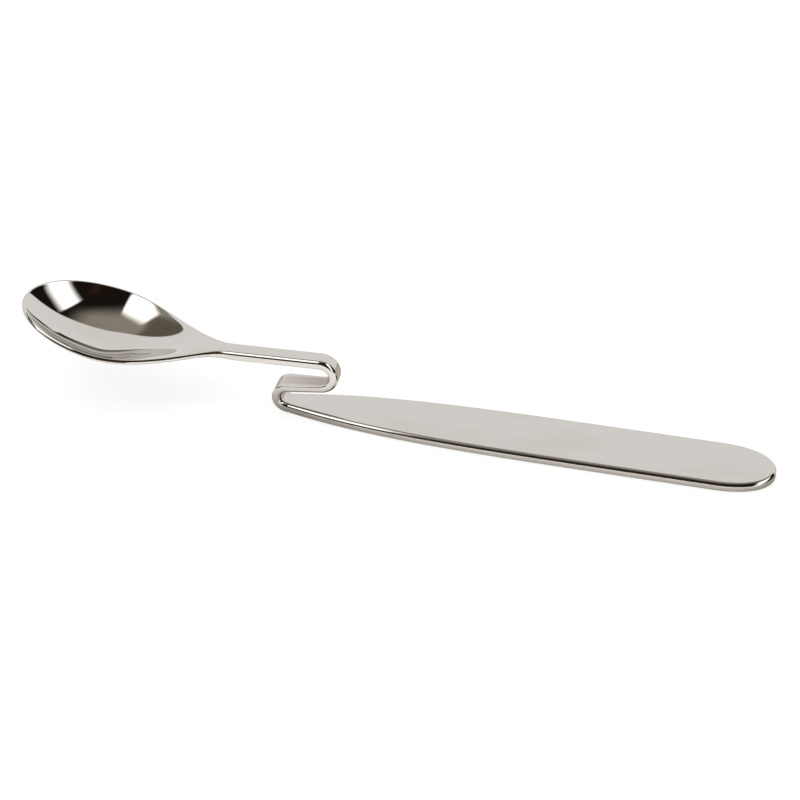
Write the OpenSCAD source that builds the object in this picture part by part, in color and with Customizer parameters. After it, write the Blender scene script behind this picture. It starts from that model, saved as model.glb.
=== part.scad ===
// Cocktail spoon with a hook for the rim of a glass or a jar.
// One strip of steel is dished into a bowl at one end, bent twice in the middle and widened into a handle.
// Lengths are in millimetres and angles in degrees. The handle lies flat on the ground, its end towards +X.

/* [Steel] */
// Thickness of the steel
steel_t = 2; // [1.2:0.1:3]
// Radius on the edges of the steel
edge_r = 0.45; // [0.1:0.05:0.5]

/* [Handle] */
// Length of the handle, from the lower bend to its end
handle_l = 111.8; // [60:0.1:180]
// Width of the handle where it is widest
handle_w = 15.6; // [8:0.1:30]
// How quickly the handle reaches its full width
handle_flare = 4.8; // [2:0.1:8]
// Length of the rounded end of the handle
handle_end_l = 13; // [6:0.1:30]
// Squareness of the rounded end, where 2 is an ellipse
handle_end_n = 2.2; // [2:0.1:4]

/* [Hook] */
// Width of the strip at the lower bend, where the handle starts
hook_w = 5.4; // [3:0.1:7.5]
// Inside radius of the lower bend
lower_r = 1.75; // [0.8:0.05:6]
// Length of the straight bridge between the two bends
bridge_l = 8.1; // [2:0.1:30]
// Rise of the bridge towards the upper bend
bridge_rise = 6; // [0:0.5:30]
// Inside radius of the upper bend, half the slot that takes the rim
upper_r = 2.4; // [0.8:0.05:8]

/* [Stem] */
// Width of the strip along the upper bend and the stem
stem_w = 4.4; // [3:0.1:7.5]
// Length of the straight stem
stem_l = 19.7; // [5:0.1:80]
// Dip of the stem towards the bowl
stem_dip = 2.4; // [-5:0.1:10]

/* [Bowl] */
// Length of the heel, from the stem to the bowl's widest place
heel_l = 31.1; // [24:0.1:50]
// Length of the nose, from the bowl's widest place to the mouth's tip
nose_l = 18.5; // [14:0.1:35]
// Distance from the stem to where the strip starts to widen
flare_from = 2.5; // [0:0.1:8]
// How early the strip widens, where a smaller value is earlier
flare_n = 0.85; // [0.6:0.05:1.3]
// Distance from the stem to the plane between the neck and the bowl
neck_l = 13; // [9:0.1:18]
// Width of the bowl's mouth inside its rounded rim
mouth_w = 26; // [15:0.1:36]
// Rise of the rim from the neck to the tip
rim_rise = 8.85; // [0:0.05:15]
// Distance from the stem to where the rim starts to rise
rise_from = 7.8; // [0:0.1:10]
// Upward slope of the rim at the tip
rim_tip_slope = 16.4; // [0:0.2:25]
// Thickness of the steel at the bowl's rim
rim_t = 1.1; // [1.05:0.05:3]
// Distance from the stem to where the steel starts to thin
thin_from = 0; // [0:0.5:8]
// Distance from the stem to where the steel is as thin as the rim
thin_to = 9; // [9:0.5:40]

/* [Dish] */
// Greatest depth of the bowl below its rim
bowl_depth = 4.45; // [2:0.05:8]
// Distance from the stem to where the dish starts to sink
dish_from = 10.1; // [6:0.1:16]
// How early the dish sinks at its heel, where a smaller value is earlier
heel_n = 0.6; // [0.5:0.02:1.2]
// Distance from the mouth's tip back to where the bowl is deepest below its rim
deepest_back = 16; // [8:0.1:22]
// Steepness of the bowl's wall at the tip
tip_n = 2.8; // [1.5:0.1:4]
// Flatness of the bowl's sides at the rim, where 0 is a plain parabola across
side_n = 0.15; // [-0.8:0.05:0.6]
// Flatness of the shoulders beside the heel, where 1 is level at the rim
shoulder_n = 0.85; // [0:0.05:1]
// Distance from the stem to where the shoulders start to fade
shoulder_from = 14.8; // [10:0.1:20]
// Distance from the stem to where the shoulders have become the bowl's sides
shoulder_to = 29.6; // [22:0.1:44]

/* [Hidden] */
$fn = 64;

satin = [0.77, 0.76, 0.74];
polish = [0.86, 0.86, 0.87];

// Step between the points of a rounded edge, in degrees
edge_step = 30;
// Spaces between the points across the bowl
across = 28;
// Spaces between the stations along the neck, the rest of the heel and the nose
neck_steps = 16;
heel_steps = 18;
nose_steps = 26;
// Spaces between the points along the handle's side and along a quarter of its round end
side_steps = 40;
end_steps = 18;
// Step for the slopes of the bowl's curves, and how far short of the tip its last section is taken
slope_step = 0.002;
tip_short = 0.01;

// Places of the bends and straights in the side view, from the middle of the lower bend, as [x, z]
function along(angle) = [cos(angle), sin(angle)];
function above(angle) = [-sin(angle), cos(angle)];
lower_c = [0, lower_r + steel_t];
bridge_from = lower_c + (lower_r + steel_t / 2) * above(bridge_rise);
bridge_to = bridge_from + bridge_l * along(bridge_rise);
upper_c = bridge_to + (upper_r + steel_t / 2) * above(bridge_rise);
stem_from = upper_c + (upper_r + steel_t / 2) * above(stem_dip);
neck_from = stem_from - stem_l * along(stem_dip);

// S-shaped passage from 0 to 1
function ease(s) = let (c = min(1, max(0, s))) c * c * (3 - 2 * c);
function unit(v) = v / norm(v);

// Outline of the rounded edge of steel t thick from the top face to the underside, as [outward, downward] steps
edge_top = [for (a = [0 : edge_step : 90]) edge_r * [sin(a), 1 - cos(a)]];
function edge_of(t) = concat(
    edge_top,
    [for (a = [90 : edge_step : 180]) [edge_r * sin(a), t - edge_r * (1 + cos(a))]]);
edge = edge_of(steel_t);
corner = len(edge_top) - 1;

// Share of the way from one distance to another, from 0 to 1
function share(u, from, to) = min(1, max(0, (u - from) / (to - from)));

// Plan of the dished end: half the width of its top face at a distance u from the stem
dish_l = heel_l + nose_l;
deepest_at = dish_l - deepest_back;
stem_half = stem_w / 2 - edge_r;
function half_w(u) = u < heel_l
    ? stem_half + (mouth_w / 2 - stem_half) * ease(pow(share(u, flare_from, heel_l), flare_n))
    : mouth_w / 2 * sqrt(1 - pow((u - heel_l) / nose_l, 2));

// Side view of the rim above the stem's top face
function rim_z(u) =
    let (l = dish_l - rise_from, s = max(0, (u - rise_from) / l))
    rim_rise * ease(s) - l * tan(rim_tip_slope) * s * s * (1 - s);

// Depth of the middle line below the rim
function depth(u) = bowl_depth * (u < deepest_at
    ? ease(pow(share(u, dish_from, deepest_at), heel_n))
    : 1 - pow((u - deepest_at) / deepest_back, tip_n));

// Bias of the curve across: flat shoulders at the heel that fade into the bowl's sides
function bias(u) = shoulder_n - (shoulder_n - side_n) * ease(share(u, shoulder_from, shoulder_to));

// Thickness of the steel, which thins along the neck
function thick(u) = steel_t - (steel_t - rim_t) * ease(share(u, thin_from, thin_to));

// Slope of one of the curves above
function slope(curve, u) = (curve(u + slope_step) - curve(u - slope_step)) / (2 * slope_step);

// How far the steel's thickness leans along the spoon: not at all up to the neck's end, which is a plane
function lean(u) = ease(share(u, neck_l, heel_l));

// A direction with its lengthwise share leaned, and still one unit thick across the face it is square to
function leaned(v, part) =
    let (w = [part * v[0], v[1], v[2]])
    w / (w * v);

// Section of the dished end at u: a closed loop from the middle of the edge at -Y over the top face to the
// edge at +Y and back along the underside. Across the top face, v runs from -1 to 1.
function section(u) =
    let (
        b = half_w(u),
        d = depth(u),
        m = bias(u),
        t = thick(u),
        edge = edge_of(t),
        b_slope = slope(function (x) half_w(x), u),
        d_slope = slope(function (x) depth(x), u),
        m_slope = slope(function (x) bias(x), u),
        z_slope = slope(function (x) rim_z(x), u),
        sunk = function (v) (1 - v * v) * (1 - m * v * v),
        fall = function (v) 2 * d * v * (1 + m - 2 * m * v * v) / b,
        face = function (v) [u, v * b, steel_t / 2 + rim_z(u) - d * sunk(v)],
        normal = function (v) unit([
            d_slope * sunk(v) - d * m_slope * v * v * (1 - v * v) + fall(v) * v * b_slope - z_slope,
            -fall(v),
            1]),
        down = function (v) -leaned(normal(v), lean(u)),
        out = function (v) leaned(v * unit(cross(normal(v), [1, v * b_slope, z_slope])), lean(u)),
        rim = function (v, e) face(v) + e[0] * out(v) + e[1] * down(v),
        row = [for (i = [0 : across]) 2 * i / across - 1]
    )
    concat(
        [for (i = [corner : -1 : 1]) rim(-1, edge[i])],
        [for (v = row) face(v)],
        [for (i = [1 : len(edge) - 2]) rim(1, edge[i])],
        [for (v = row) face(-v) + t * down(-v)],
        [for (i = [len(edge) - 2 : -1 : corner + 1]) rim(-1, edge[i])]
    );

// The loop's points that fall together at the tip, as places in the edge from the top face to the underside
tip_of = concat(
    [for (i = [corner : -1 : 1]) i],
    [for (i = [0 : across]) 0],
    [for (i = [1 : len(edge) - 2]) i],
    [for (i = [0 : across]) len(edge) - 1],
    [for (i = [len(edge) - 2 : -1 : corner + 1]) i]
);

neck_loops = [for (i = [0 : neck_steps]) section(i * neck_l / neck_steps)];
bowl_loops = concat(
    [for (i = [0 : heel_steps - 1]) section(neck_l + i * (heel_l - neck_l) / heel_steps)],
    [for (i = [0 : nose_steps - 1]) section(heel_l + nose_l * sin(90 * i / nose_steps))]
);
last_loop = section(dish_l - tip_short);
tip_edge = [for (i = [0 : len(edge) - 1])
    let (p = last_loop[search(i, tip_of)[0]])
    [p[0], 0, p[2]]];

// Middle of the overall length, which is the origin
tip_reach = max([for (p = tip_edge) p[0] * cos(stem_dip) + p[2] * sin(stem_dip)]);
middle_x = (handle_l + neck_from[0] - tip_reach) / 2;

// Solid through a row of loops with as many points each. A loop's first half runs along one side and its
// second half back along the other, so that the flat ends can be closed across. A tip closes the last end
// to an edge instead.
module loft(loops, tip = []) {
    n = len(loops[0]);
    rows = len(loops);
    at = function (i, k) i < rows ? i * n + k % n : rows * n + tip_of[k % n];
    end = function (i) [for (k = [0 : ceil(n / 2) - 2])
        each let (a = i * n + k, b = i * n + n - 1 - k)
        b - a > 2 ? [[a, b, b - 1], [a, b - 1, a + 1]] : [[a, b, b - 1]]];
    flipped = function (faces) [for (f = faces) [f[0], f[2], f[1]]];
    skin = [for (i = [0 : rows - (len(tip) > 0 ? 1 : 2)], k = [0 : n - 1])
        each let (a = at(i, k), b = at(i, k + 1), c = at(i + 1, k + 1), d = at(i + 1, k))
        c == d ? [[a, b, c]] : [[a, b, c], [a, c, d]]];
    polyhedron(
        concat([for (loop = loops) each loop], tip),
        concat(skin, end(0), len(tip) > 0 ? [] : flipped(end(rows - 1))));
}

// Rounded section of the plain strip, its thickness along X
module strip_section(w) {
    for (y = [-1, 1], x = [-1, 1])
        translate([x * (steel_t / 2 - edge_r), y * (w / 2 - edge_r)])
            circle(edge_r);
    square([steel_t - 2 * edge_r, w], center = true);
    square([steel_t, w - 2 * edge_r], center = true);
}

// Puts a shape at a point of the side view, with its own X turned up by an angle
module at_point(p, angle = 0)
    translate([p[0] - middle_x, 0, p[1]])
        rotate([0, -angle, 0])
            children();

// The same for the dished end and the stem, whose own X runs towards the bowl
module from_stem(p)
    translate([p[0] - middle_x, 0, p[1]])
        rotate([0, stem_dip, 180])
            children();

// Bend of the strip about a point, between two angles of the side view
module bend(c, r, w, from, to)
    at_point(c, from)
        rotate([90, 0, 0])
            rotate_extrude(angle = to - from)
                translate([r + steel_t / 2, 0])
                    strip_section(w);

// Rounded section of the strip as a loop, at a distance x along it
function strip_loop(x, w) =
    let (side = [for (e = edge) [w / 2 - edge_r + e[0], steel_t / 2 - e[1]]])
    concat(
        [for (i = [corner : -1 : 0]) [x, -side[i][0], side[i][1]]],
        [for (e = side) [x, e[0], e[1]]],
        [for (i = [len(edge) - 1 : -1 : corner + 1]) [x, -side[i][0], side[i][1]]]
    );

// Plan of the handle: half its width along the side, then the round end
handle_side_l = handle_l - handle_end_l;
function handle_half(x) =
    (handle_w - (handle_w - hook_w) * pow(1 - x / handle_side_l, handle_flare)) / 2;
handle_front = concat(
    [for (i = [0 : side_steps - 1])
        let (x = handle_side_l * i / side_steps)
        [x, -handle_half(x)]],
    [for (i = [0 : end_steps])
        let (a = 90 * i / end_steps, n = 2 / handle_end_n)
        [handle_side_l + handle_end_l * pow(sin(a), n), -handle_w / 2 * pow(cos(a), n)]]
);
handle_plan = concat(
    handle_front,
    [for (i = [len(handle_front) - 2 : -1 : 0]) [handle_front[i][0], -handle_front[i][1]]]
);

// Outward direction of the plan at its point i, square to the strip where the handle starts
function plan_out(i) =
    let (last = len(handle_plan) - 1, run = handle_plan[min(i + 1, last)] - handle_plan[max(i - 1, 0)])
    i == 0 ? [0, -1] : i == last ? [0, 1] : unit([run[1], -run[0]]);

module bowl()
    color(polish)
        from_stem(neck_from)
            loft(bowl_loops, tip_edge);

module neck()
    color(polish)
        from_stem(neck_from)
            loft(neck_loops);

module stem()
    color(satin)
        from_stem(stem_from)
            rotate([0, 90, 0])
                linear_extrude(stem_l)
                    strip_section(stem_w);

module upper_bend()
    color(satin)
        bend(upper_c, upper_r, stem_w, bridge_rise - 90, stem_dip + 90);

module bridge()
    color(satin)
        at_point(bridge_from, bridge_rise)
            loft([strip_loop(0, hook_w), strip_loop(bridge_l, stem_w)]);

module lower_bend()
    color(satin)
        bend(lower_c, lower_r, hook_w, bridge_rise + 90, 270);

// Levels of the plan stacked down the rounded edge, trimmed so that each flat face is a single face
module handle()
    color(satin)
        at_point([0, 0])
            intersection() {
                loft([for (e = edge) [for (i = [0 : len(handle_plan) - 1])
                    let (p = handle_plan[i] + (e[0] - edge_r) * plan_out(i))
                    [p[0], p[1], steel_t - e[1]]]]);
                translate([-handle_w, -handle_w, -steel_t])
                    cube([handle_l + 2 * handle_w, 2 * handle_w, 3 * steel_t]);
            }

bowl();
neck();
stem();
upper_bend();
bridge();
lower_bend();
handle();
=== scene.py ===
import math

import bmesh
import bpy
from bpy.props import FloatProperty, FloatVectorProperty, PointerProperty
from mathutils import Matrix, Vector


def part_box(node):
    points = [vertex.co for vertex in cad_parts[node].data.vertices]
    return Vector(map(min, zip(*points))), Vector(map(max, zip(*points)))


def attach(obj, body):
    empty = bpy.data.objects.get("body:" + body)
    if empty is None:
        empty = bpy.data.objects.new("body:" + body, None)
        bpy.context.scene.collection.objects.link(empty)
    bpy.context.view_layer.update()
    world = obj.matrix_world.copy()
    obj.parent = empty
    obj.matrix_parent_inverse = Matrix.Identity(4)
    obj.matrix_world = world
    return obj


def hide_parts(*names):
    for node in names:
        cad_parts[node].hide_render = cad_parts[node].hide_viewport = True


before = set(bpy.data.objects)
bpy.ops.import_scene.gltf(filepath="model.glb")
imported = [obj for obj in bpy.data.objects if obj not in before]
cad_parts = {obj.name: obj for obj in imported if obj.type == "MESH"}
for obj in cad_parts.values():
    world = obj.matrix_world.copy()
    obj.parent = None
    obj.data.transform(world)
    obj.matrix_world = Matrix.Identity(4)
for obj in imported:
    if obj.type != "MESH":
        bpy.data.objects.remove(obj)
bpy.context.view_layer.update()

bl_info = {
    "name": "Cocktail Spoon",
    "version": (1, 0, 0),
    "blender": (4, 5, 0),
    "location": "View3D > Sidebar > Spoon",
    "description": "Builds a steel cocktail spoon with a rim hook, and a white table to show it on",
    "category": "Add Mesh",
}

MM = 0.001

# How finely the pieces are divided
EDGE_SEGMENTS = 10
BEND_STEPS = 120
HANDLE_STATIONS = 110
DISH_STATIONS = 190
DISH_ROWS = 72
# How far the rows across the dished end crowd towards its rim, from 0 to 1
ROW_CROWD = 0.4
# Share of the stations that lie between the stem and the bowl's widest place
HEEL_STATIONS = 0.49
# Share of the stations that lie along the handle's side, before its rounded end
SIDE_STATIONS = 0.55
# How far short of the mouth's tip the last station is taken
TIP_SHORT = 0.01 * MM
# Step over which a slope is taken
SLOPE_STEP = 0.002 * MM
# Points nearer than this are one point
MERGE = 0.0005 * MM
# How far large faces outweigh small ones in the shading
FLAT_WEIGHT = 100

# Patterns in the steel: how close they are in each direction, their detail and their roughness
LINES = ((55, 5200, 55), 4.0, 0.62)
CLOUDS = ((70, 70, 70), 3.0, 0.5)
STAINS = ((38, 120, 60), 2.0, 0.5)
# How a pattern is read: from which value to which, and what that gives
STAINED = (0.5, 0.8, 0.0, 0.8)
UNEVEN = (0.3, 0.7, 0.85, 1.15)
LINED = (0.3, 0.7, 0.9, 1.1)
# Depth of the lines, and how strongly they show on polished and on satin steel
LINES_DEPTH = 0.02 * MM
LINES_SHOWN = (0.01, 0.04)
# Where the painted shade inside the hook starts and where it is full: sideways from the
# middle, up from the bridge's lowest and highest places, and along from its left and right ends
HOOK_SHADE_SIDEWAYS = (1.9 * MM, 1.2 * MM)
HOOK_SHADE_FROM_LOWEST = (0.0, 1.5 * MM)
HOOK_SHADE_FROM_HIGHEST = (3.5 * MM, 2 * MM)
HOOK_SHADE_FROM_LEFT = -7 * MM
HOOK_SHADE_TO_RIGHT = 2 * MM
HOOK_SHADE_PAST_RIGHT = (4 * MM, 3 * MM)

# Half the table's side, and its gap below the spoon
TABLE_HALF = 4
TABLE_GAP = 0.05 * MM
# Share of the table that glows for the camera, so that it is as white as the background
TABLE_GLOW = 0.8
TABLE_WHITE = (0.9, 0.9, 0.9, 1)
# The steel sees the table painted darker under and behind the spoon, a painted shade where the
# softboxes reach less
TABLE_SHADE = (0.42, 0.4, 0.36, 1)
SHADE_FROM = -16 * MM
SHADE_TO = -3 * MM

WHITE = (1, 1, 1, 1)
ROOM_DARK = (0.014, 0.01, 0.007, 1)
# How much brighter the room lights the table than the steel shows it
ROOM_LIGHT = 3.2
# Least height at which a direction's place in the room is read
LEAST_HEIGHT = 0.02
# Things in the room have soft straight edges on a level plane one unit above the spoon. An edge is
# a share of the way right, a share of the way back, and their sum just outside and just inside.
OLIVE_LEFT = [(1, -0.458, -0.63, -0.74)], (0.157, 0.139, 0.105, 1)
BROWN_SMEAR = (
    [(1, 0, 0.28, 0.38), (1, 0, 0.5, 0.38), (0, 1, -0.1, -0.4)], (0.036, 0.018, 0.012, 1))
LOW_FRONT = [(0, 1, -0.7, -1.5)], (0.075, 0.06, 0.045, 1)
PALE_CEILING = (
    [(-1, 1, -0.24, 0.3), (1, 0, 0.5, 0.12), (1, -0.458, -0.74, -0.63)], (0.38, 0.35, 0.3, 1))
WHITE_WALL = [(-0.4, 1, 0.735, 0.805), (-0.75, 1, 0.62, 0.7)], (1.06, 1.06, 1.06, 1)
LEFT_SOFTBOX = [(1.083, 1, 0.43, 0.75), (1, -0.169, 0.4, 0.445), (0.9, 1, 1.65, 1)]
RIGHT_SOFTBOX = [(1, -0.19, -0.05, -0.13), (0.41, 1, 0.12, -0.17), (-1.05, 1, 0.83, 0.76)]
# Front edge of the right softbox as the table and as the steel see it
ROOM_FRONT = (0, 1, -0.8, -0.7)
PANEL_FRONT = (0, 1, -0.8, -0.5)
# Height of the right softbox above the bowl, the place that it is measured from, and its left,
# front, right and back
PANEL_HEIGHT = 0.4
PANEL_FROM = (-58 * MM, 6 * MM, 14 * MM)
PANEL = (-1.5, -1.5, 0.1, 0.8)

# The camera's sensor in millimetres, and the nearest thing it sees in metres
SENSOR_WIDTH = 36
CLIP_START = 0.01


class SpoonStrip(bpy.types.PropertyGroup):
    """Sizes of the steel strip and of the hook bent in it"""

    steel_t: FloatProperty(
        name="Steel", description="Thickness of the steel", default=2.0 * MM, unit="LENGTH")
    edge_w: FloatProperty(
        name="Edge width", description="How far the strip's rolled edges reach in",
        default=1.0 * MM, unit="LENGTH")
    edge_h: FloatProperty(
        name="Edge height", description="How far the strip's rolled edges fall",
        default=0.8 * MM, unit="LENGTH")
    under_r: FloatProperty(
        name="Under edge", description="Radius on the edges of the other side",
        default=0.35 * MM, unit="LENGTH")
    hook_w: FloatProperty(
        name="Hook width", description="Width of the strip at the lower bend",
        default=5.4 * MM, unit="LENGTH")
    stem_w: FloatProperty(
        name="Stem width", description="Width of the upper bend and the stem",
        default=4.4 * MM, unit="LENGTH")
    lower_r: FloatProperty(
        name="Lower bend", description="Inside radius of the lower bend",
        default=1.75 * MM, unit="LENGTH")
    bridge_l: FloatProperty(
        name="Bridge", description="Length of the straight between the bends",
        default=8.1 * MM, unit="LENGTH")
    bridge_rise: FloatProperty(
        name="Bridge rise", description="Rise of the bridge towards the upper bend",
        default=math.radians(6), subtype="ANGLE")
    upper_r: FloatProperty(
        name="Upper bend", description="Inside radius of the upper bend",
        default=2.4 * MM, unit="LENGTH")
    stem_l: FloatProperty(
        name="Stem", description="Length of the straight stem", default=19.7 * MM, unit="LENGTH")
    stem_dip: FloatProperty(
        name="Stem dip", description="Dip of the stem towards the bowl",
        default=math.radians(2.4), subtype="ANGLE")


class SpoonHandle(bpy.types.PropertyGroup):
    """Sizes of the flat handle"""

    length: FloatProperty(
        name="Length", description="From the lower bend to the handle's end",
        default=111.8 * MM, unit="LENGTH")
    width: FloatProperty(
        name="Width", description="Where the handle is widest", default=15.6 * MM, unit="LENGTH")
    flare: FloatProperty(
        name="Flare", description="How quickly the handle reaches its full width", default=4.8)
    edge_w: FloatProperty(
        name="Edge width", description="How far the handle's rolled edges reach in",
        default=1.15 * MM, unit="LENGTH")
    edge_h: FloatProperty(
        name="Edge height", description="How far the handle's rolled edges fall",
        default=0.8 * MM, unit="LENGTH")
    edge_to: FloatProperty(
        name="Edge passage",
        description="From the lower bend to where the strip's edges have become the handle's",
        default=7.0 * MM, unit="LENGTH")
    end_l: FloatProperty(
        name="Round end", description="Length of the rounded end", default=13.0 * MM, unit="LENGTH")
    end_n: FloatProperty(
        name="Squareness", description="Squareness of the rounded end, where 2 is an ellipse",
        default=2.2)


class SpoonBowl(bpy.types.PropertyGroup):
    """Sizes of the dished end"""

    heel_l: FloatProperty(
        name="Heel", description="From the stem to the bowl's widest place",
        default=31.1 * MM, unit="LENGTH")
    nose_l: FloatProperty(
        name="Nose", description="From the widest place to the mouth's tip",
        default=18.44 * MM, unit="LENGTH")
    flare_from: FloatProperty(
        name="Flare", description="From the stem to where the strip starts to widen",
        default=2.5 * MM, unit="LENGTH")
    flare_n: FloatProperty(
        name="Flare start",
        description="How early the strip widens, where a smaller value is earlier", default=0.85)
    neck_l: FloatProperty(
        name="Neck", description="From the stem to the end of the neck",
        default=13.0 * MM, unit="LENGTH")
    mouth_w: FloatProperty(
        name="Mouth", description="Width of the mouth inside its rounded rim",
        default=25.77 * MM, unit="LENGTH")
    rim_rise: FloatProperty(
        name="Rim rise", description="Rise of the rim from the neck to the tip",
        default=8.8 * MM, unit="LENGTH")
    rise_from: FloatProperty(
        name="Rise", description="From the stem to where the rim starts to rise",
        default=7.8 * MM, unit="LENGTH")
    rim_tip_slope: FloatProperty(
        name="Rim slope", description="Upward slope of the rim at the tip",
        default=math.radians(16.4), subtype="ANGLE")
    rim_t: FloatProperty(
        name="Rim", description="Thickness of the steel at the bowl's rim",
        default=1.1 * MM, unit="LENGTH")
    rim_r: FloatProperty(
        name="Rim radius", description="Radius on the edges of the bowl's rim",
        default=0.44 * MM, unit="LENGTH")
    thin_from: FloatProperty(
        name="Thinning", description="From the stem to where the steel starts to thin",
        default=0.0, unit="LENGTH")
    thin_to: FloatProperty(
        name="Thinned", description="From the stem to where the steel is as thin as the rim",
        default=9.0 * MM, unit="LENGTH")
    depth: FloatProperty(
        name="Depth", description="Greatest depth of the bowl below its rim",
        default=4.8 * MM, unit="LENGTH")
    dish_from: FloatProperty(
        name="Dish", description="From the stem to where the dish starts to sink",
        default=9.5 * MM, unit="LENGTH")
    heel_n: FloatProperty(
        name="Dish start",
        description="How early the dish sinks at its heel, where a smaller value is earlier",
        default=0.7)
    deepest_back: FloatProperty(
        name="Deepest place", description="Distance of the deepest place back from the mouth's tip",
        default=16.9 * MM, unit="LENGTH")
    tip_n: FloatProperty(
        name="Tip wall", description="Steepness of the bowl's wall at the tip", default=2.55)
    side_n: FloatProperty(
        name="Sides",
        description="Flatness of the bowl's sides at the rim, where 0 is a plain parabola across",
        default=-0.25)
    shoulder_n: FloatProperty(
        name="Shoulders",
        description="Flatness of the shoulders beside the heel, where 1 is level at the rim",
        default=0.85)
    shoulder_from: FloatProperty(
        name="Shoulders fade", description="From the stem to where the shoulders start to fade",
        default=16.5 * MM, unit="LENGTH")
    shoulder_to: FloatProperty(
        name="Shoulders end",
        description="From the stem to where the shoulders have become the sides",
        default=31.2 * MM, unit="LENGTH")


class SpoonFinish(bpy.types.PropertyGroup):
    """Colours and polish of the steel"""

    steel: FloatVectorProperty(
        name="Steel", description="Colour of the steel", size=3, subtype="COLOR",
        default=(0.58, 0.555, 0.525), min=0, max=1)
    stain: FloatVectorProperty(
        name="Stain", description="Colour of the steel where it is a little stained", size=3,
        subtype="COLOR", default=(0.54, 0.505, 0.465), min=0, max=1)
    # Painted shade: a darker steel colour inside the hook, where the stem and the bends shade the
    # bridge
    hook_shade: FloatVectorProperty(
        name="Painted_shade", description="Colour of the steel inside the hook, which is hard to polish",
        size=3, subtype="COLOR", default=(0.34, 0.3, 0.25), min=0, max=1)
    satin: FloatProperty(
        name="Satin", description="Roughness of the satin steel", default=0.1, min=0, max=1,
        subtype="FACTOR")
    polish: FloatProperty(
        name="Polish", description="Roughness of the polished bowl", default=0.035, min=0, max=1,
        subtype="FACTOR")


class SpoonStage(bpy.types.PropertyGroup):
    """Camera and light"""

    azimuth: FloatProperty(
        name="Azimuth", description="Turn of the camera to the handle's side",
        default=math.radians(13.687), subtype="ANGLE")
    elevation: FloatProperty(
        name="Elevation", description="Height of the camera above the table",
        default=math.radians(36.806), subtype="ANGLE")
    distance: FloatProperty(
        name="Distance", description="From the camera to the place it looks at",
        default=0.51599, unit="LENGTH")
    target: FloatVectorProperty(
        name="Target", description="Place that the camera looks at", size=3,
        subtype="TRANSLATION", default=(1.692 * MM, 0, 6.294 * MM), unit="LENGTH")
    lens: FloatProperty(
        name="Lens", description="Focal length in millimetres on a 36 mm sensor", default=102.04)
    softbox: FloatProperty(
        name="Softboxes", description="Brightness of the two softboxes beside the camera",
        default=2.4, min=0)


def along(angle):
    """Direction of a strip that rises by an angle, in the side view."""
    return Vector((math.cos(angle), 0, math.sin(angle)))


def above(angle):
    """Direction square to that strip, upwards."""
    return Vector((-math.sin(angle), 0, math.cos(angle)))


def places(strip):
    """Middle points of the bends' ends and their centres, from the start of the CAD handle."""
    start = Vector((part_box("handle")[0].x, 0, 0))
    lower_m = strip.lower_r + strip.steel_t / 2
    upper_m = strip.upper_r + strip.steel_t / 2
    lower_c = start + Vector((0, 0, strip.lower_r + strip.steel_t))
    bridge_from = lower_c + lower_m * above(strip.bridge_rise)
    bridge_to = bridge_from + strip.bridge_l * along(strip.bridge_rise)
    upper_c = bridge_to + upper_m * above(strip.bridge_rise)
    stem_from = upper_c + upper_m * above(strip.stem_dip)
    return {
        "handle_from": start + Vector((0, 0, strip.steel_t / 2)),
        "lower_c": lower_c,
        "bridge_from": bridge_from,
        "bridge_to": bridge_to,
        "upper_c": upper_c,
        "stem_from": stem_from,
        "neck_from": stem_from - strip.stem_l * along(strip.stem_dip),
    }


def ease(s):
    """S-shaped passage from 0 to 1."""
    s = min(1, max(0, s))
    return s * s * (3 - 2 * s)


def share(u, start, end):
    """Share of the way from one distance to another, from 0 to 1."""
    return min(1, max(0, (u - start) / (end - start)))


def slope(curve, u):
    """Slope of a curve at a distance u."""
    return (curve(u + SLOPE_STEP) - curve(u - SLOPE_STEP)) / (2 * SLOPE_STEP)


def leaned(way, part):
    """Direction with part of its lengthwise lean, still one unit thick across its own face."""
    lean = Vector((part * way.x, way.y, way.z))
    return lean / lean.dot(way)


def quarter(segments):
    """Angles of a quarter turn."""
    return [math.pi / 2 * i / segments for i in range(segments + 1)]


def strip_section(bm, strip, width, place, angle, rolled=1):
    """Face with the strip's section, square to a strip that rises by an angle.

    The edges are rolled on the upper side, or on the lower side where rolled is -1.
    """
    w, h, r = strip.edge_w, strip.edge_h, strip.under_r
    half, t = width / 2, strip.steel_t / 2
    turns = quarter(EDGE_SEGMENTS)
    side = [(half - w * (1 - math.sin(a)), t - h * (1 - math.cos(a))) for a in turns]
    side += [(half - r * (1 - math.cos(a)), r * (1 - math.sin(a)) - t) for a in turns]
    outline = side + [(-x, y) for x, y in side[::-1]]
    verts = bmesh.ops.create_circle(
        bm, cap_ends=True, segments=len(outline), radius=1)["verts"]
    for vert, (x, y) in zip(verts, outline):
        vert.co = (x, rolled * y, 0)
    turn = Matrix((Vector((0, 1, 0)), above(angle), along(angle))).transposed().to_4x4()
    bmesh.ops.transform(bm, matrix=Matrix.Translation(place) @ turn, verts=verts)
    return verts[0].link_faces[0]


def lay_grid(bm, rows, across):
    """Grid of faces over rows of points, and its vertices as (row, place in the row, vertex)."""
    last = len(rows) - 1
    bmesh.ops.create_grid(bm, x_segments=last, y_segments=across, size=1)
    laid = []
    for vert in bm.verts:
        i = round((vert.co.x + 1) / 2 * last)
        k = round((vert.co.y + 1) / 2 * across)
        vert.co = rows[i][k % len(rows[i])]
        laid.append((i, k, vert))
    return laid


def close_end(bm, edges):
    """Flat end over a ring of edges."""
    return bmesh.ops.contextual_create(bm, geom=edges)["faces"]


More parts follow.
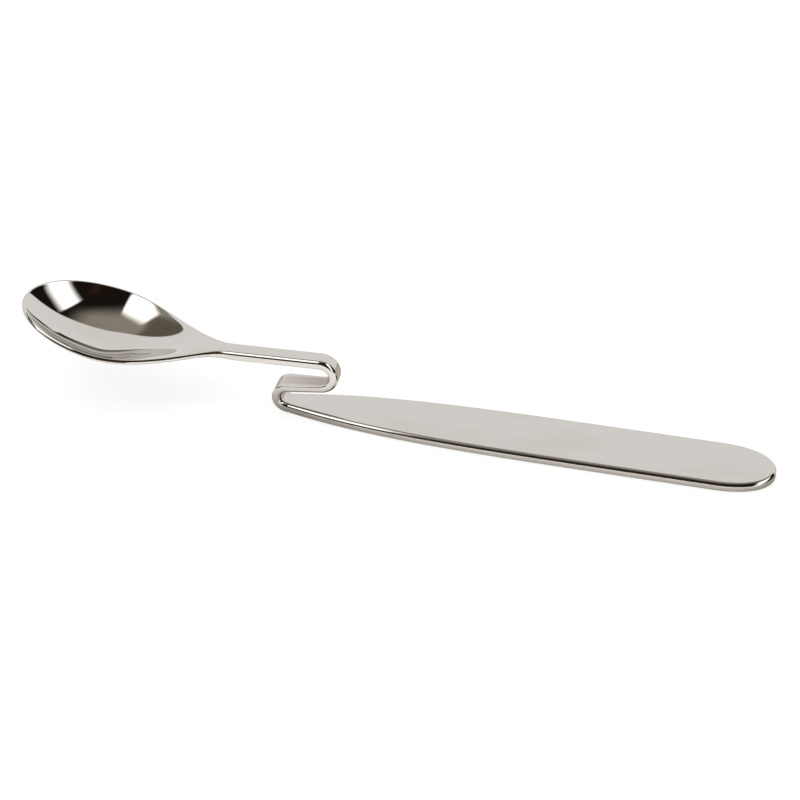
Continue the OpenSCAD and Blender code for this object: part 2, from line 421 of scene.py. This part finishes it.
def finish_piece(context, name, bm, nodes, material, ends):
    """Makes a bmesh a piece that stands for CAD nodes and rides on the spoon's one body."""
    bmesh.ops.recalc_face_normals(bm, faces=bm.faces)
    for face in bm.faces:
        face.smooth = True
    for face in ends:
        for edge in face.edges:
            edge.smooth = False
    mesh = bpy.data.meshes.new(name)
    bm.to_mesh(mesh)
    bm.free()
    mesh.materials.append(material)
    piece = bpy.data.objects.new(name, mesh)
    context.scene.collection.objects.link(piece)
    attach(piece, "root")
    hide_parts(*nodes)
    # The flats stay flat up to the rounded edges
    weighted = piece.modifiers.new("Flat faces", "WEIGHTED_NORMAL")
    weighted.mode = "FACE_AREA"
    weighted.weight = FLAT_WEIGHT
    weighted.keep_sharp = True


def node(tree, kind, inputs=None, **settings):
    """Adds a shader node with its settings, and links or sets its inputs."""
    new = tree.nodes.new(kind)
    for key, value in settings.items():
        setattr(new, key, value)
    for key, value in (inputs or {}).items():
        if isinstance(value, bpy.types.NodeSocket):
            tree.links.new(value, new.inputs[key])
        else:
            new.inputs[key].default_value = value
    return new


def reckon(tree, operation, *values):
    """Result of a maths node."""
    return node(tree, "ShaderNodeMath", dict(enumerate(values)), operation=operation).outputs[0]


def product(tree, *values):
    """Product of values."""
    total = 1.0
    for value in values:
        total = reckon(tree, "MULTIPLY", total, value)
    return total


def ramp(tree, value, start, end, low=0.0, high=1.0, kind="LINEAR"):
    """Passage from low to high while a value goes from start to end."""
    return node(tree, "ShaderNodeMapRange", {
        "Value": value, "From Min": start, "From Max": end, "To Min": low, "To Max": high},
        interpolation_type=kind).outputs[0]


def mix(tree, factor, a, b):
    """Colour between two colours."""
    return node(tree, "ShaderNodeMix", {
        "Factor": factor, "A": a, "B": b}, data_type="RGBA").outputs["Result"]


def pattern(tree, place, closeness, detail, roughness):
    """Cloudy pattern, closer together in some directions than in others."""
    at = node(tree, "ShaderNodeMapping", {"Vector": place, "Scale": closeness}).outputs[0]
    return node(tree, "ShaderNodeTexNoise", {
        "Vector": at, "Scale": 1.0, "Detail": detail, "Roughness": roughness}).outputs["Fac"]


def empty_material(name):
    """New material and its shader tree, with nothing in it."""
    material = bpy.data.materials.new(name)
    material.use_nodes = True
    material.node_tree.nodes.clear()
    return material, material.node_tree


def ceiling(tree, way):
    """Function that tells a direction's share inside edges on a plane one unit above the spoon."""
    axes = node(tree, "ShaderNodeSeparateXYZ", {"Vector": way}).outputs
    height = reckon(tree, "MAXIMUM", axes["Z"], LEAST_HEIGHT)
    right = reckon(tree, "DIVIDE", axes["X"], height)
    back = reckon(tree, "DIVIDE", axes["Y"], height)

    def within(*edges):
        """Share inside soft straight edges."""
        shares = []
        for x, y, outside, inside in edges:
            reach = reckon(tree, "MULTIPLY_ADD", back, y, reckon(tree, "MULTIPLY", right, x))
            shares.append(ramp(tree, reach, outside, inside, kind="SMOOTHSTEP"))
        return product(tree, *shares)

    return within


def hook_shade_share(tree, axes):
    """Share of the painted shade inside the hook, most of all in the upper bend."""
    lo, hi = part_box("bridge")
    sideways = reckon(tree, "ABSOLUTE", axes["Y"])
    return product(
        tree,
        ramp(tree, sideways, *HOOK_SHADE_SIDEWAYS),
        ramp(tree, axes["Z"], *(lo.z + d for d in HOOK_SHADE_FROM_LOWEST)),
        ramp(tree, axes["Z"], *(hi.z + d for d in HOOK_SHADE_FROM_HIGHEST)),
        ramp(tree, axes["X"], lo.x + HOOK_SHADE_FROM_LEFT, hi.x + HOOK_SHADE_TO_RIGHT),
        ramp(tree, axes["X"], *(hi.x + d for d in HOOK_SHADE_PAST_RIGHT)))


def steel_material(name, finish, satin_from=None, satin_to=None):
    """Stainless steel with fine lines along the strip, satin or polished up to a place on the neck.

    The lines change across the spoon only, so they follow the strip round its bends.
    """
    material = bpy.data.materials.get(name)
    if material:
        return material
    material, tree = empty_material(name)
    place = node(tree, "ShaderNodeTexCoord").outputs["Object"]
    axes = node(tree, "ShaderNodeSeparateXYZ", {"Vector": place}).outputs
    lines = pattern(tree, place, *LINES)
    stained = ramp(tree, pattern(tree, place, *STAINS), *STAINED)
    colour = mix(tree, stained, (*finish.steel, 1), (*finish.stain, 1))
    # Painted shade inside the hook: the steel's colour is darkened there
    colour = mix(tree, hook_shade_share(tree, axes), colour, (*finish.hook_shade, 1))

    satin = 1.0
    if satin_from is not None:
        # The polish fades into the satin of the stem along the neck
        satin = ramp(tree, axes["X"], satin_from, satin_to, kind="SMOOTHSTEP")
    rough = product(
        tree,
        ramp(tree, satin, 0.0, 1.0, finish.polish, finish.satin),
        ramp(tree, pattern(tree, place, *CLOUDS), *UNEVEN),
        ramp(tree, lines, *LINED))
    bump = node(tree, "ShaderNodeBump", {
        "Strength": ramp(tree, satin, 0.0, 1.0, *LINES_SHOWN),
        "Distance": LINES_DEPTH, "Height": lines}).outputs[0]
    shader = node(tree, "ShaderNodeBsdfPrincipled", {
        "Base Color": colour, "Metallic": 1.0, "Roughness": rough, "Normal": bump})
    node(tree, "ShaderNodeOutputMaterial", {"Surface": shader.outputs[0]})
    return material


def satin_steel(context):
    """Steel of the handle, the hook and the stem."""
    return steel_material("brushed_satin_steel", context.scene.spoon_finish)


def polished_steel(context):
    """Steel of the bowl and the neck."""
    neck_lo, neck_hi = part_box("neck")
    return steel_material(
        "mirror_polished_steel", context.scene.spoon_finish, neck_lo.x, neck_hi.x)


class SPOON_OT_bowl(bpy.types.Operator):
    """Draw the strip's section out along the neck and the bowl, widened and dished up to the tip"""

    bl_idname = "spoon.bowl"
    bl_label = "Bowl and Neck"

    def passing(self, u, strip_size, rim_size):
        """Size that passes from the strip's to the rim's along the neck."""
        passed = ease(share(u, self.bowl.thin_from, self.bowl.thin_to))
        return strip_size - (strip_size - rim_size) * passed

    def edge_width(self, u):
        """How far the rolled edge reaches in."""
        return self.passing(u, self.strip.edge_w, self.bowl.rim_r)

    def half_width(self, u):
        """Half the width between the rounded edges."""
        bowl = self.bowl
        if u < bowl.heel_l:
            stem_half = self.strip.stem_w / 2 - bowl.rim_r
            half = stem_half + (bowl.mouth_w / 2 - stem_half) * ease(
                share(u, bowl.flare_from, bowl.heel_l) ** bowl.flare_n)
            return half + bowl.rim_r - self.edge_width(u)
        return bowl.mouth_w / 2 * math.sqrt(max(0, 1 - ((u - bowl.heel_l) / bowl.nose_l) ** 2))

    def rim_height(self, u):
        """Height of the rim above the stem's line."""
        bowl = self.bowl
        length = self.dish_l - bowl.rise_from
        s = max(0, (u - bowl.rise_from) / length)
        return bowl.rim_rise * ease(s) - length * math.tan(bowl.rim_tip_slope) * s * s * (1 - s)

    def depth(self, u):
        """Depth of the dish below its rim."""
        bowl = self.bowl
        deepest_at = self.dish_l - bowl.deepest_back
        if u < deepest_at:
            return bowl.depth * ease(share(u, bowl.dish_from, deepest_at) ** bowl.heel_n)
        return bowl.depth * (1 - ((u - deepest_at) / bowl.deepest_back) ** bowl.tip_n)

    def bias(self, u):
        """Bias of the curve across: flat shoulders at the heel that fade into the bowl's sides."""
        bowl = self.bowl
        faded = ease(share(u, bowl.shoulder_from, bowl.shoulder_to))
        return bowl.shoulder_n - (bowl.shoulder_n - bowl.side_n) * faded

    def loop(self, u):
        """Places round the section as (across from -1 to 1, outward, downward)."""
        strip, bowl = self.strip, self.bowl
        t = self.passing(u, strip.steel_t, bowl.rim_t)
        w = self.edge_width(u)
        h = self.passing(u, strip.edge_h, bowl.rim_r)
        r = self.passing(u, strip.under_r, bowl.rim_r)
        turns = quarter(EDGE_SEGMENTS)
        upper = [(w * math.sin(a), h * (1 - math.cos(a))) for a in turns]
        lower = [(w - r * (1 - math.cos(a)), t - r * (1 - math.sin(a))) for a in turns]
        even = [2 * i / DISH_ROWS - 1 for i in range(DISH_ROWS + 1)]
        across = [(1 - ROW_CROWD) * e + ROW_CROWD * math.sin(math.pi / 2 * e) for e in even]
        return (
            [(-1, *e) for e in upper[:0:-1]]
            + [(v, 0, 0) for v in across]
            + [(1, *e) for e in upper[1:] + lower]
            + [(-v, 0, t) for v in across]
            + [(-1, *e) for e in lower[::-1]])

    def section(self, u):
        """Points round the section at a distance u from the stem.

        At the tip they fall together in pairs.
        """
        b, d, m = self.half_width(u), self.depth(u), self.bias(u)
        b_slope, d_slope = slope(self.half_width, u), slope(self.depth, u)
        m_slope, z_slope = slope(self.bias, u), slope(self.rim_height, u)
        part = ease(share(u, self.bowl.neck_l, self.bowl.heel_l))
        at_tip = u >= self.dish_l - TIP_SHORT
        points = []
        for v, outward, downward in self.loop(u):
            if at_tip:
                v = 1
            sunk = (1 - v * v) * (1 - m * v * v)
            fall = 2 * d * v * (1 + m - 2 * m * v * v) / b
            normal = Vector((
                d_slope * sunk - d * m_slope * v * v * (1 - v * v) + fall * v * b_slope - z_slope,
                -fall,
                1)).normalized()
            point = Vector((u, v * b, self.strip.steel_t / 2 + self.rim_height(u) - d * sunk))
            point -= downward * leaned(normal, part)
            if outward:
                rim_way = Vector((1, v * b_slope, z_slope))
                point += outward * leaned(v * normal.cross(rim_way).normalized(), part)
            if at_tip:
                point.y = 0
            points.append(point)
        return points

    def station(self, s):
        """Distance from the stem of a station from 0 to 1, closer together towards the tip."""
        if s < HEEL_STATIONS:
            return self.bowl.heel_l * s / HEEL_STATIONS
        turn = math.pi / 2 * (s - HEEL_STATIONS) / (1 - HEEL_STATIONS)
        return min(self.bowl.heel_l + self.bowl.nose_l * math.sin(turn), self.dish_l - TIP_SHORT)

    def execute(self, context):
        self.strip, self.bowl = context.scene.spoon_strip, context.scene.spoon_bowl
        self.dish_l = self.bowl.heel_l + self.bowl.nose_l
        stations = [self.station(i / DISH_STATIONS) for i in range(DISH_STATIONS + 1)]
        sections = [self.section(u) for u in stations]
        bm = bmesh.new()
        lay_grid(bm, sections, len(sections[0]))
        bmesh.ops.remove_doubles(bm, verts=bm.verts, dist=MERGE)
        ends = close_end(bm, [e for e in bm.edges if e.is_boundary])
        place = places(self.strip)["neck_from"]
        dip = self.strip.stem_dip
        turn = Matrix((-along(dip), Vector((0, -1, 0)), above(dip))).transposed().to_4x4()
        bmesh.ops.transform(bm, matrix=Matrix.Translation(place) @ turn, verts=bm.verts)
        finish_piece(
            context, "bowl_and_neck", bm, ["bowl", "neck"],
            polished_steel(context), ends)
        return {"FINISHED"}


class SPOON_OT_stem(bpy.types.Operator):
    """Draw out the straight stem"""

    bl_idname = "spoon.stem"
    bl_label = "Stem"

    def execute(self, context):
        strip = context.scene.spoon_strip
        bm = bmesh.new()
        start = strip_section(
            bm, strip, strip.stem_w, places(strip)["neck_from"], strip.stem_dip)
        made = bmesh.ops.extrude_face_region(bm, geom=[start], use_keep_orig=True)["geom"]
        bmesh.ops.translate(
            bm, vec=strip.stem_l * along(strip.stem_dip),
            verts=[v for v in made if isinstance(v, bmesh.types.BMVert)])
        ends = [start] + [f for f in made if isinstance(f, bmesh.types.BMFace)]
        finish_piece(
            context, "stem_strip", bm, ["stem"], satin_steel(context), ends)
        return {"FINISHED"}


class SPOON_OT_bends(bpy.types.Operator):
    """Bend the strip round the two half turns of the hook"""

    bl_idname = "spoon.bends"
    bl_label = "Bends"

    def execute(self, context):
        strip = context.scene.spoon_strip
        at = places(strip)
        rise, dip = strip.bridge_rise, strip.stem_dip
        self.bend(
            context, "upper_bend", strip.stem_w, at["bridge_to"], rise, at["upper_c"],
            math.pi + dip - rise, -1)
        self.bend(
            context, "lower_bend", strip.hook_w, at["handle_from"], 0, at["lower_c"],
            rise - math.pi, 1)
        return {"FINISHED"}

    def bend(self, context, node_name, width, start, angle, centre, sweep, rolled):
        """Turns the strip's section round a centre."""
        bm = bmesh.new()
        first = strip_section(bm, context.scene.spoon_strip, width, start, angle, rolled)
        turned = bmesh.ops.spin(
            bm, geom=first.edges[:] + first.verts[:], cent=centre, axis=(0, -1, 0), angle=sweep,
            steps=BEND_STEPS)["geom_last"]
        last = close_end(bm, [e for e in turned if isinstance(e, bmesh.types.BMEdge)])
        finish_piece(
            context, node_name + "_strip", bm, [node_name],
            satin_steel(context), [first] + last)


class SPOON_OT_bridge(bpy.types.Operator):
    """Join the two bends with the short tapered bridge"""

    bl_idname = "spoon.bridge"
    bl_label = "Bridge"

    def execute(self, context):
        strip = context.scene.spoon_strip
        at = places(strip)
        bm = bmesh.new()
        ends = [
            strip_section(bm, strip, strip.hook_w, at["bridge_from"], strip.bridge_rise, -1),
            strip_section(bm, strip, strip.stem_w, at["bridge_to"], strip.bridge_rise, -1)]
        bmesh.ops.bridge_loops(bm, edges=ends[0].edges[:] + ends[1].edges[:])
        finish_piece(
            context, "bridge_strip", bm, ["bridge"], satin_steel(context), ends)
        return {"FINISHED"}


class SPOON_OT_handle(bpy.types.Operator):
    """Draw the flat handle to its outline, with a soft rolled edge"""

    bl_idname = "spoon.handle"
    bl_label = "Handle"

    def passed(self, x):
        """Share of the way from the strip's edges to the handle's."""
        return ease(share(x, 0, self.handle.edge_to))

    def outline(self):
        """Places round the handle in plan: along the front, round the end and back."""
        strip, handle = self.strip, self.handle
        side_l = handle.length - handle.end_l
        front = []
        for i in range(HANDLE_STATIONS + 1):
            s = i / HANDLE_STATIONS
            if s < SIDE_STATIONS:
                x = side_l * s / SIDE_STATIONS
                narrowed = (handle.width - strip.hook_w) * (1 - x / side_l) ** handle.flare
                half = (handle.width - narrowed) / 2
            else:
                turn = math.pi / 2 * (s - SIDE_STATIONS) / (1 - SIDE_STATIONS)
                x = side_l + handle.end_l * math.sin(turn) ** (2 / handle.end_n)
                half = handle.width / 2 * max(0, math.cos(turn)) ** (2 / handle.end_n)
            front.append(Vector((x, -half, 0)))
        return front + [Vector((p.x, -p.y, 0)) for p in front[-2::-1]]

    def profile(self, x):
        """Places on the edge as (distance in from the outline, height), from the top down."""
        strip, handle = self.strip, self.handle
        w = strip.edge_w + (handle.edge_w - strip.edge_w) * self.passed(x)
        h = strip.edge_h + (handle.edge_h - strip.edge_h) * self.passed(x)
        r = strip.under_r
        turns = quarter(EDGE_SEGMENTS)
        return (
            [(w * (1 - math.sin(a)), strip.steel_t - h * (1 - math.cos(a))) for a in turns]
            + [(r * (1 - math.cos(a)), r * (1 - math.sin(a))) for a in turns])

    def execute(self, context):
        self.strip, self.handle = context.scene.spoon_strip, context.scene.spoon_handle
        start = places(self.strip)["handle_from"].x
        plan = self.outline()
        rings = []
        for i, place in enumerate(plan):
            way = plan[min(i + 1, len(plan) - 1)] - plan[max(i - 1, 0)]
            # At the lower bend the edge is drawn square to the strip
            inward = Vector((0, math.copysign(1, -place.y), 0)).lerp(
                Vector((-way.y, way.x, 0)).normalized(), self.passed(place.x))
            rings.append([
                place + inset * inward + Vector((start, 0, height))
                for inset, height in self.profile(place.x)])
        bm = bmesh.new()
        across = len(rings[0]) - 1
        laid = sorted(lay_grid(bm, rings, across), key=lambda one: one[0])
        for side in (0, across):
            ring = [vert for _, k, vert in laid if k == side]
            edges = [bm.edges.get(pair) for pair in zip(ring, ring[1:])]
            edges += bmesh.ops.contextual_create(bm, geom=[ring[0], ring[-1]])["edges"]
            close_end(bm, edges)
        ends = close_end(bm, [e for e in bm.edges if e.is_boundary])
        finish_piece(
            context, "handle_plate", bm, ["handle"], satin_steel(context), ends)
        return {"FINISHED"}


class SPOON_OT_stage(bpy.types.Operator):
    """Set the white table, the room's light and the camera"""

    bl_idname = "spoon.stage"
    bl_label = "Table, Light and Camera"

    def execute(self, context):
        scene, stage = context.scene, context.scene.spoon_stage
        scene.view_settings.view_transform = "Standard"
        self.table(context)
        self.panel(context, stage)
        self.room(scene, stage)
        self.camera(scene, stage)
        return {"FINISHED"}

    def table(self, context):
        """White table that keeps the spoon's shadow."""
        bm = bmesh.new()
        bmesh.ops.create_grid(bm, x_segments=1, y_segments=1, size=TABLE_HALF)
        bmesh.ops.translate(bm, vec=(0, 0, -TABLE_GAP), verts=bm.verts)
        mesh = bpy.data.meshes.new("table")
        bm.to_mesh(mesh)
        bm.free()
        material, tree = empty_material("white_table")
        rays = node(tree, "ShaderNodeLightPath").outputs
        place = node(tree, "ShaderNodeTexCoord").outputs["Object"]
        back = node(tree, "ShaderNodeSeparateXYZ", {"Vector": place}).outputs["Y"]
        # Painted shade that only the steel sees: the table darker under and behind the spoon
        behind = ramp(tree, back, SHADE_FROM, SHADE_TO, kind="SMOOTHSTEP")
        behind = product(tree, behind, rays["Is Glossy Ray"])
        white = mix(tree, behind, TABLE_WHITE, TABLE_SHADE)
        matt = node(tree, "ShaderNodeBsdfDiffuse", {"Color": white}).outputs[0]
        glow = node(tree, "ShaderNodeEmission", {"Color": WHITE, "Strength": 1.0}).outputs[0]
        glowing = product(tree, rays["Is Camera Ray"], TABLE_GLOW)
        both = node(tree, "ShaderNodeMixShader", {0: glowing, 1: matt, 2: glow}).outputs[0]
        node(tree, "ShaderNodeOutputMaterial", {"Surface": both})
        mesh.materials.append(material)
        table = bpy.data.objects.new("table", mesh)
        context.scene.collection.objects.link(table)

    def panel(self, context, stage):
        """Right softbox, as a panel above the spoon that only the steel sees."""
        left, front, right, back = PANEL
        bm = bmesh.new()
        bmesh.ops.create_grid(bm, x_segments=1, y_segments=1, size=0.5)
        bmesh.ops.scale(bm, vec=(right - left, back - front, 1), verts=bm.verts)
        bmesh.ops.translate(bm, vec=((left + right) / 2, (front + back) / 2, 1), verts=bm.verts)
        bmesh.ops.scale(bm, vec=(PANEL_HEIGHT,) * 3, verts=bm.verts)
        bmesh.ops.translate(bm, vec=PANEL_FROM, verts=bm.verts)
        mesh = bpy.data.meshes.new("softbox")
        bm.to_mesh(mesh)
        bm.free()
        material, tree = empty_material("softbox")
        place = node(tree, "ShaderNodeTexCoord").outputs["Object"]
        way = node(tree, "ShaderNodeVectorMath", {
            0: place, 1: PANEL_FROM}, operation="SUBTRACT").outputs[0]
        rays = node(tree, "ShaderNodeLightPath").outputs
        within = ceiling(tree, way)
        lit = product(tree, within(*RIGHT_SOFTBOX, PANEL_FRONT), rays["Is Glossy Ray"])
        clear = node(tree, "ShaderNodeBsdfTransparent").outputs[0]
        glow = node(tree, "ShaderNodeEmission", {"Strength": stage.softbox}).outputs[0]
        both = node(tree, "ShaderNodeMixShader", {0: lit, 1: clear, 2: glow}).outputs[0]
        node(tree, "ShaderNodeOutputMaterial", {"Surface": both})
        material.cycles.emission_sampling = "NONE"
        mesh.materials.append(material)
        panel = bpy.data.objects.new("softbox", mesh)
        panel.visible_camera = False
        panel.visible_diffuse = False
        panel.visible_shadow = False
        context.scene.collection.objects.link(panel)

    def room(self, scene, stage):
        """Dark room with a white wall behind the spoon, a pale ceiling and two softboxes.

        The steel sees the right softbox as a panel, and the table sees it as part of the room.
        """
        world = bpy.data.worlds.new("room")
        scene.world = world
        world.use_nodes = True
        tree = world.node_tree
        tree.nodes.clear()
        within = ceiling(tree, node(tree, "ShaderNodeTexCoord").outputs["Generated"])
        rays = node(tree, "ShaderNodeLightPath").outputs
        glow = (stage.softbox, stage.softbox, stage.softbox, 1)
        matt = reckon(tree, "SUBTRACT", 1.0, rays["Is Glossy Ray"])
        colour = ROOM_DARK
        for edges, shown in (OLIVE_LEFT, BROWN_SMEAR, LOW_FRONT, PALE_CEILING):
            colour = mix(tree, within(*edges), colour, shown)
        right_softbox = product(tree, within(*RIGHT_SOFTBOX, ROOM_FRONT), matt)
        colour = mix(tree, right_softbox, colour, glow)
        colour = mix(tree, within(*LEFT_SOFTBOX), colour, glow)
        wall, wall_white = WHITE_WALL
        colour = mix(tree, within(*wall), colour, wall_white)
        colour = mix(tree, rays["Is Camera Ray"], colour, WHITE)
        strength = ramp(tree, rays["Is Diffuse Ray"], 0.0, 1.0, 1.0, ROOM_LIGHT)
        light = node(tree, "ShaderNodeBackground", {
            "Color": colour, "Strength": strength}).outputs[0]
        node(tree, "ShaderNodeOutputWorld", {"Surface": light})

    def camera(self, scene, stage):
        """Camera at the photo's angle."""
        data = bpy.data.cameras.new("camera")
        data.sensor_fit = "HORIZONTAL"
        data.sensor_width = SENSOR_WIDTH
        data.lens = stage.lens
        data.clip_start = CLIP_START
        camera = bpy.data.objects.new("camera", data)
        scene.collection.objects.link(camera)
        flat = math.cos(stage.elevation)
        back = Vector((
            math.sin(stage.azimuth) * flat,
            -math.cos(stage.azimuth) * flat,
            math.sin(stage.elevation)))
        camera.location = Vector(stage.target) + stage.distance * back
        camera.rotation_euler = back.to_track_quat("Z", "Y").to_euler()
        scene.camera = camera


class SPOON_PT_panel(bpy.types.Panel):
    """Sizes, finish and making of the spoon"""

    bl_idname = "SPOON_PT_panel"
    bl_label = "Cocktail Spoon"
    bl_space_type = "VIEW_3D"
    bl_region_type = "UI"
    bl_category = "Spoon"

    def draw(self, context):
        for name in GROUPS:
            group = getattr(context.scene, name)
            box = self.layout.box()
            box.label(text=type(group).__doc__)
            for key in group.bl_rna.properties.keys():
                if key not in ("rna_type", "name"):
                    box.prop(group, key)
        for operator in OPERATORS:
            self.layout.operator(operator.bl_idname)


GROUPS = {
    "spoon_strip": SpoonStrip,
    "spoon_handle": SpoonHandle,
    "spoon_bowl": SpoonBowl,
    "spoon_finish": SpoonFinish,
    "spoon_stage": SpoonStage,
}
OPERATORS = [
    SPOON_OT_bowl, SPOON_OT_stem, SPOON_OT_bends, SPOON_OT_bridge, SPOON_OT_handle,
    SPOON_OT_stage]


def register():
    for name, group in GROUPS.items():
        bpy.utils.register_class(group)
        setattr(bpy.types.Scene, name, PointerProperty(type=group))
    for operator in OPERATORS:
        bpy.utils.register_class(operator)
    bpy.utils.register_class(SPOON_PT_panel)


def unregister():
    bpy.utils.unregister_class(SPOON_PT_panel)
    for operator in reversed(OPERATORS):
        bpy.utils.unregister_class(operator)
    for name, group in GROUPS.items():
        delattr(bpy.types.Scene, name)
        bpy.utils.unregister_class(group)


def main():
    register()
    bpy.ops.spoon.bowl()
    bpy.ops.spoon.stem()
    bpy.ops.spoon.bends()
    bpy.ops.spoon.bridge()
    bpy.ops.spoon.handle()
    bpy.ops.spoon.stage()


if __name__ == "__main__":
    main()
